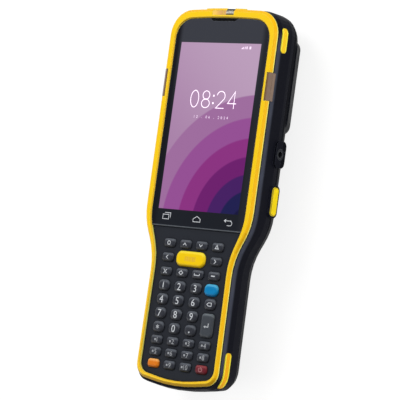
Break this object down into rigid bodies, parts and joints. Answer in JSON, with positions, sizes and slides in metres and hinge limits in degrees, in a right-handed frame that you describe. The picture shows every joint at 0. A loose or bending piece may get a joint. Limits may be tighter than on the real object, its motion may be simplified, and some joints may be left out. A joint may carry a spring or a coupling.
{
  "type": "handheld barcode data terminal",
  "caption": "Handheld data terminal: wide touch display over a slim keypad grip, with a scan window, side triggers, headset socket and hinged battery door.",
  "frame": {"origin": "on the resting plane under the middle of the length and width, with the terminal lying on its back", "axes": "+X to the right of the display, +Y towards the scan window at the top end, +Z out of the display"},
  "size_m": [0.0788, 0.2113, 0.033],
  "materials": {
    "housing_black": "fine moulded grain",
    "bumper_yellow": "satin moulded bumper",
    "lens_brown": "smoked translucent",
    "lens_white": "milky translucent",
    "trim_black": "semi-gloss",
    "screen_glass": "hard-coated cover glass with a dark printed border",
    "display_stack": "display module",
    "keypad_grey": "fine moulded grain",
    "silicone_grey": "matt silicone",
    "board_green": "solder mask",
    "battery_grey": "bare moulded case",
    "steel": "plain",
    "trigger_yellow": "smooth",
    "engine_grey": "die-cast chassis",
    "window_red": "dark red filter window",
    "camera_black": "coated lens in a black ring",
    "key_grey": "satin key cap",
    "key_yellow": "satin key cap",
    "key_blue": "satin key cap",
    "key_orange": "satin key cap",
    "key_red": "satin key cap"
  },
  "bodies": {
    "root": {"front_housing": "housing_black", "rear_housing": "housing_black", "bumper_rim": "bumper_yellow", "corner_inserts": "bumper_yellow", "side_lenses": "lens_brown", "status_lens": "lens_white", "earpiece_grille": "trim_black", "display_glass": "screen_glass", "display_panel": "display_stack", "keypad_panel": "keypad_grey", "keypad_mat": "silicone_grey", "main_board": "board_green", "battery_pack": "battery_grey", "hinge_pin": "steel", "scan_engine": "engine_grey", "scan_window": "window_red", "camera_module": "camera_black", "headset_socket": "trim_black", "housing_screws": "steel"},
    "battery_door": {"battery_door": "housing_black"},
    "left_trigger": {"left_trigger": "trigger_yellow"},
    "right_trigger": {"right_trigger": "trigger_yellow"},
    "key_side_left": {"key_side_left": "key_grey"},
    "key_up": {"key_up": "key_grey"},
    "key_down": {"key_down": "key_grey"},
    "key_side_right": {"key_side_right": "key_grey"},
    "key_left": {"key_left": "key_grey"},
    "key_scan": {"key_scan": "key_yellow"},
    "key_right": {"key_right": "key_grey"},
    "key_escape": {"key_escape": "key_grey"},
    "key_control": {"key_control": "key_grey"},
    "key_space": {"key_space": "key_grey"},
    "key_minus": {"key_minus": "key_grey"},
    "key_1": {"key_1": "key_grey"},
    "key_2": {"key_2": "key_grey"},
    "key_3": {"key_3": "key_grey"},
    "key_blue": {"key_blue": "key_blue"},
    "key_4": {"key_4": "key_grey"},
    "key_5": {"key_5": "key_grey"},
    "key_6": {"key_6": "key_grey"},
    "key_backspace": {"key_backspace": "key_grey"},
    "key_7": {"key_7": "key_grey"},
    "key_8": {"key_8": "key_grey"},
    "key_9": {"key_9": "key_grey"},
    "key_enter": {"key_enter": "key_grey"},
    "key_star": {"key_star": "key_grey"},
    "key_0": {"key_0": "key_grey"},
    "key_point": {"key_point": "key_grey"},
    "key_f1": {"key_f1": "key_grey"},
    "key_f2": {"key_f2": "key_grey"},
    "key_f3": {"key_f3": "key_grey"},
    "key_f4": {"key_f4": "key_grey"},
    "key_f5": {"key_f5": "key_grey"},
    "key_f6": {"key_f6": "key_grey"},
    "key_f7": {"key_f7": "key_grey"},
    "key_f8": {"key_f8": "key_grey"},
    "key_orange": {"key_orange": "key_orange"},
    "key_f9": {"key_f9": "key_grey"},
    "key_f10": {"key_f10": "key_grey"},
    "key_power": {"key_power": "key_red"}
  },
  "joints": [
    {"name": "battery_door_hinge", "type": "hinge", "parent": "root", "child": "battery_door", "pos_m": [0, -0.0774, 0.00225], "axis": [-1, 0, 0], "range_deg": [0, 100]},
    {"name": "left_trigger_press", "type": "slide", "parent": "root", "child": "left_trigger", "axis": [1, 0, 0], "range_m": [0, 0.001], "stiffness_N_per_m": 1500},
    {"name": "right_trigger_press", "type": "slide", "parent": "root", "child": "right_trigger", "axis": [-1, 0, 0], "range_m": [0, 0.001], "stiffness_N_per_m": 1500},
    {"name": "key_side_left_press", "type": "slide", "parent": "root", "child": "key_side_left", "axis": [0, 0, -1], "range_m": [0, 0.0007], "stiffness_N_per_m": 1500},
    {"name": "key_up_press", "type": "slide", "parent": "root", "child": "key_up", "axis": [0, 0, -1], "range_m": [0, 0.0007], "stiffness_N_per_m": 1500},
    {"name": "key_down_press", "type": "slide", "parent": "root", "child": "key_down", "axis": [0, 0, -1], "range_m": [0, 0.0007], "stiffness_N_per_m": 1500},
    {"name": "key_side_right_press", "type": "slide", "parent": "root", "child": "key_side_right", "axis": [0, 0, -1], "range_m": [0, 0.0007], "stiffness_N_per_m": 1500},
    {"name": "key_left_press", "type": "slide", "parent": "root", "child": "key_left", "axis": [0, 0, -1], "range_m": [0, 0.0007], "stiffness_N_per_m": 1500},
    {"name": "key_scan_press", "type": "slide", "parent": "root", "child": "key_scan", "axis": [0, 0, -1], "range_m": [0, 0.0007], "stiffness_N_per_m": 1500},
    {"name": "key_right_press", "type": "slide", "parent": "root", "child": "key_right", "axis": [0, 0, -1], "range_m": [0, 0.0007], "stiffness_N_per_m": 1500},
    {"name": "key_escape_press", "type": "slide", "parent": "root", "child": "key_escape", "axis": [0, 0, -1], "range_m": [0, 0.0007], "stiffness_N_per_m": 1500},
    {"name": "key_control_press", "type": "slide", "parent": "root", "child": "key_control", "axis": [0, 0, -1], "range_m": [0, 0.0007], "stiffness_N_per_m": 1500},
    {"name": "key_space_press", "type": "slide", "parent": "root", "child": "key_space", "axis": [0, 0, -1], "range_m": [0, 0.0007], "stiffness_N_per_m": 1500},
    {"name": "key_minus_press", "type": "slide", "parent": "root", "child": "key_minus", "axis": [0, 0, -1], "range_m": [0, 0.0007], "stiffness_N_per_m": 1500},
    {"name": "key_1_press", "type": "slide", "parent": "root", "child": "key_1", "axis": [0, 0, -1], "range_m": [0, 0.0007], "stiffness_N_per_m": 1500},
    {"name": "key_2_press", "type": "slide", "parent": "root", "child": "key_2", "axis": [0, 0, -1], "range_m": [0, 0.0007], "stiffness_N_per_m": 1500},
    {"name": "key_3_press", "type": "slide", "parent": "root", "child": "key_3", "axis": [0, 0, -1], "range_m": [0, 0.0007], "stiffness_N_per_m": 1500},
    {"name": "key_blue_press", "type": "slide", "parent": "root", "child": "key_blue", "axis": [0, 0, -1], "range_m": [0, 0.0007], "stiffness_N_per_m": 1500},
    {"name": "key_4_press", "type": "slide", "parent": "root", "child": "key_4", "axis": [0, 0, -1], "range_m": [0, 0.0007], "stiffness_N_per_m": 1500},
    {"name": "key_5_press", "type": "slide", "parent": "root", "child": "key_5", "axis": [0, 0, -1], "range_m": [0, 0.0007], "stiffness_N_per_m": 1500},
    {"name": "key_6_press", "type": "slide", "parent": "root", "child": "key_6", "axis": [0, 0, -1], "range_m": [0, 0.0007], "stiffness_N_per_m": 1500},
    {"name": "key_backspace_press", "type": "slide", "parent": "root", "child": "key_backspace", "axis": [0, 0, -1], "range_m": [0, 0.0007], "stiffness_N_per_m": 1500},
    {"name": "key_7_press", "type": "slide", "parent": "root", "child": "key_7", "axis": [0, 0, -1], "range_m": [0, 0.0007], "stiffness_N_per_m": 1500},
    {"name": "key_8_press", "type": "slide", "parent": "root", "child": "key_8", "axis": [0, 0, -1], "range_m": [0, 0.0007], "stiffness_N_per_m": 1500},
    {"name": "key_9_press", "type": "slide", "parent": "root", "child": "key_9", "axis": [0, 0, -1], "range_m": [0, 0.0007], "stiffness_N_per_m": 1500},
    {"name": "key_enter_press", "type": "slide", "parent": "root", "child": "key_enter", "axis": [0, 0, -1], "range_m": [0, 0.0007], "stiffness_N_per_m": 1500},
    {"name": "key_star_press", "type": "slide", "parent": "root", "child": "key_star", "axis": [0, 0, -1], "range_m": [0, 0.0007], "stiffness_N_per_m": 1500},
    {"name": "key_0_press", "type": "slide", "parent": "root", "child": "key_0", "axis": [0, 0, -1], "range_m": [0, 0.0007], "stiffness_N_per_m": 1500},
    {"name": "key_point_press", "type": "slide", "parent": "root", "child": "key_point", "axis": [0, 0, -1], "range_m": [0, 0.0007], "stiffness_N_per_m": 1500},
    {"name": "key_f1_press", "type": "slide", "parent": "root", "child": "key_f1", "axis": [0, 0, -1], "range_m": [0, 0.0007], "stiffness_N_per_m": 1500},
    {"name": "key_f2_press", "type": "slide", "parent": "root", "child": "key_f2", "axis": [0, 0, -1], "range_m": [0, 0.0007], "stiffness_N_per_m": 1500},
    {"name": "key_f3_press", "type": "slide", "parent": "root", "child": "key_f3", "axis": [0, 0, -1], "range_m": [0, 0.0007], "stiffness_N_per_m": 1500},
    {"name": "key_f4_press", "type": "slide", "parent": "root", "child": "key_f4", "axis": [0, 0, -1], "range_m": [0, 0.0007], "stiffness_N_per_m": 1500},
    {"name": "key_f5_press", "type": "slide", "parent": "root", "child": "key_f5", "axis": [0, 0, -1], "range_m": [0, 0.0007], "stiffness_N_per_m": 1500},
    {"name": "key_f6_press", "type": "slide", "parent": "root", "child": "key_f6", "axis": [0, 0, -1], "range_m": [0, 0.0007], "stiffness_N_per_m": 1500},
    {"name": "key_f7_press", "type": "slide", "parent": "root", "child": "key_f7", "axis": [0, 0, -1], "range_m": [0, 0.0007], "stiffness_N_per_m": 1500},
    {"name": "key_f8_press", "type": "slide", "parent": "root", "child": "key_f8", "axis": [0, 0, -1], "range_m": [0, 0.0007], "stiffness_N_per_m": 1500},
    {"name": "key_orange_press", "type": "slide", "parent": "root", "child": "key_orange", "axis": [0, 0, -1], "range_m": [0, 0.0007], "stiffness_N_per_m": 1500},
    {"name": "key_f9_press", "type": "slide", "parent": "root", "child": "key_f9", "axis": [0, 0, -1], "range_m": [0, 0.0007], "stiffness_N_per_m": 1500},
    {"name": "key_f10_press", "type": "slide", "parent": "root", "child": "key_f10", "axis": [0, 0, -1], "range_m": [0, 0.0007], "stiffness_N_per_m": 1500},
    {"name": "key_power_press", "type": "slide", "parent": "root", "child": "key_power", "axis": [0, 0, -1], "range_m": [0, 0.0007], "stiffness_N_per_m": 1500}
  ]
}
